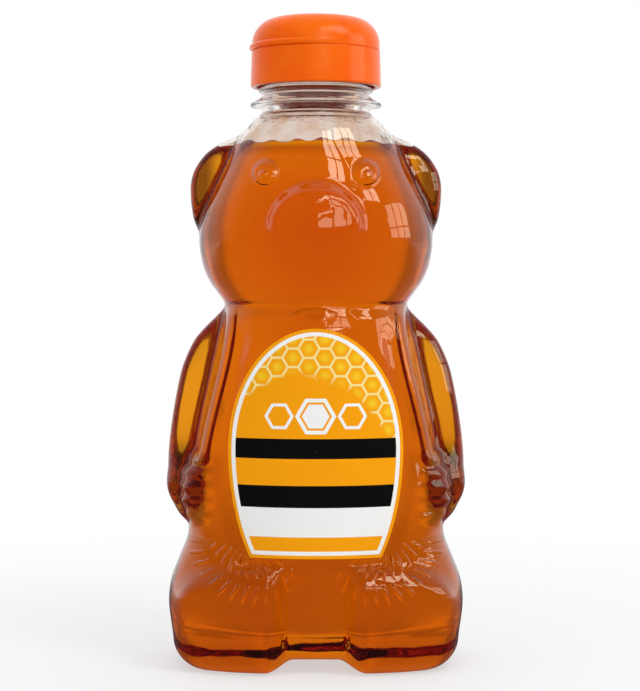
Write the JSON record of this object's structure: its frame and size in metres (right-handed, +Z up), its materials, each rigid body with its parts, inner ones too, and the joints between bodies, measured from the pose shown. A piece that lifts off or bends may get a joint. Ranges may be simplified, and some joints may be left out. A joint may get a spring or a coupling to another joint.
{
  "type": "honey bear bottle",
  "caption": "Clear squeeze bottle in the shape of a seated bear, filled with honey, with a paper label and an orange screw closure whose flip-top lid covers a pouring spout",
  "frame": {"origin": "on the ground, midway between the snout's tip and the back of the head; the neck's axis stands 1.82 mm behind it", "axes": "+Z up the bottle, the bear's face looks along -Y, +X to the right of someone who faces it"},
  "size_m": [0.0728, 0.0506, 0.1571],
  "materials": {
    "clear_wall": "clear blown PET, glossy, slightly uneven inside",
    "honey": "clear amber liquid",
    "label": "printed film label, semi-gloss",
    "gasket_foam": "white foamed liner",
    "orange_moulding": "injection moulded polypropylene, soft gloss"
  },
  "bodies": {
    "bear": {"bottle": "clear_wall", "honey": "honey", "front_label": "label"},
    "gasket": {"rim_gasket": "gasket_foam"},
    "closure": {"closure_base": "orange_moulding", "film_hinge": "orange_moulding"},
    "lid": {"flip_lid": "orange_moulding"}
  },
  "joints": [
    {"name": "closure_lift", "type": "slide", "parent": "bear", "child": "gasket", "axis": [0, 0, 1], "range_m": [0, 0.003]},
    {"name": "closure_turn", "type": "hinge", "parent": "gasket", "child": "closure", "pos_m": [0, 0.00182, 0.14854], "axis": [0, 0, 1], "range_deg": [0, 360]},
    {"name": "lid_flip", "type": "hinge", "parent": "closure", "child": "lid", "pos_m": [0.01364, 0.0097, 0.14824], "axis": [-0.5, 0.866, 0], "range_deg": [0, 170]}
  ],
  "couplings": [
    {"joint": "closure_lift", "follows": "closure_turn", "m_per_rad": 0.00047746}
  ]
}
